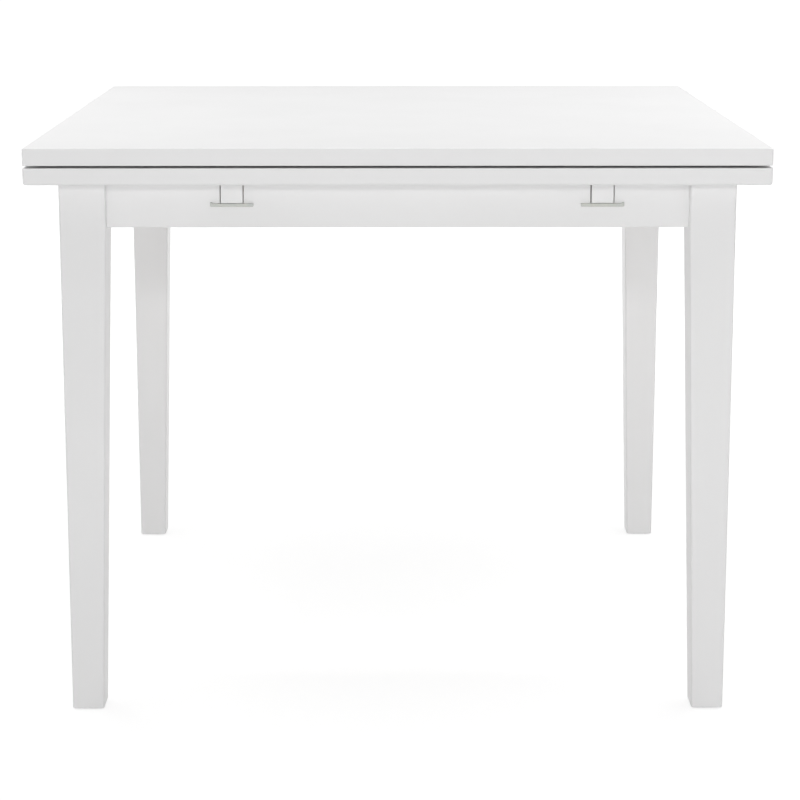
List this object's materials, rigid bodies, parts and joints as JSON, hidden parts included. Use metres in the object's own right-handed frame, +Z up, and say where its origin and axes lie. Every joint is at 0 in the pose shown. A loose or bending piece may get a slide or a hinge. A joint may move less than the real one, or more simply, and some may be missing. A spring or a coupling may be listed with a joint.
{
  "type": "extendable dining table",
  "caption": "Square draw-leaf dining table with a loose top, pull-out leaves on bearers, a fixed centre board, notched aprons and tapered legs.",
  "frame": {"origin": "on the floor under the middle of the closed table", "axes": "+Z up, -Y towards the front with the front leaf, +X to the right"},
  "size_m": [0.95, 0.95, 0.76],
  "materials": {
    "white_lacquer": "white satin lacquer over board and solid wood",
    "beech": "plain planed beech",
    "zinc_steel": "bright zinc plated steel",
    "felt": "grey felt",
    "white_nylon": "white nylon",
    "dark_nylon": "dark grey nylon"
  },
  "bodies": {
    "frame": {"apron_back": "white_lacquer", "apron_front": "white_lacquer", "apron_left": "white_lacquer", "apron_right": "white_lacquer", "bracket_screws": "zinc_steel", "centre_board": "white_lacquer", "centre_board_screws": "zinc_steel", "corner_bolts": "zinc_steel", "corner_bracket_back_left": "zinc_steel", "corner_bracket_back_right": "zinc_steel", "corner_bracket_front_left": "zinc_steel", "corner_bracket_front_right": "zinc_steel", "corner_dowels": "beech", "corner_nuts": "zinc_steel", "foot_glide_back_left": "dark_nylon", "foot_glide_back_right": "dark_nylon", "foot_glide_front_left": "dark_nylon", "foot_glide_front_right": "dark_nylon", "guide_rail_back": "beech", "guide_rail_front": "beech", "leg_back_left": "white_lacquer", "leg_back_right": "white_lacquer", "leg_front_left": "white_lacquer", "leg_front_right": "white_lacquer", "peg_bushes": "white_nylon", "saddle_back_left": "zinc_steel", "saddle_back_right": "zinc_steel", "saddle_front_left": "zinc_steel", "saddle_front_right": "zinc_steel", "saddle_screws": "zinc_steel"},
    "main_top": {"main_top": "white_lacquer", "guide_pegs": "beech", "spacer_pads": "felt"},
    "front_leaf": {"front_leaf": "white_lacquer", "bearer_front_left": "white_lacquer", "bearer_front_right": "white_lacquer", "bearer_screws_front": "zinc_steel", "stop_pegs_front": "beech"},
    "back_leaf": {"back_leaf": "white_lacquer", "bearer_back_left": "white_lacquer", "bearer_back_right": "white_lacquer", "bearer_screws_back": "zinc_steel", "stop_pegs_back": "beech"}
  },
  "joints": [
    {"name": "main_top_lift", "type": "slide", "parent": "frame", "child": "main_top", "axis": [0, 0, 1], "range_m": [0, 0.025]},
    {"name": "front_leaf_draw", "type": "slide", "parent": "frame", "child": "front_leaf", "axis": [0, -1, 0], "range_m": [0, 0.425]},
    {"name": "back_leaf_draw", "type": "slide", "parent": "frame", "child": "back_leaf", "axis": [0, 1, 0], "range_m": [0, 0.425]}
  ]
}
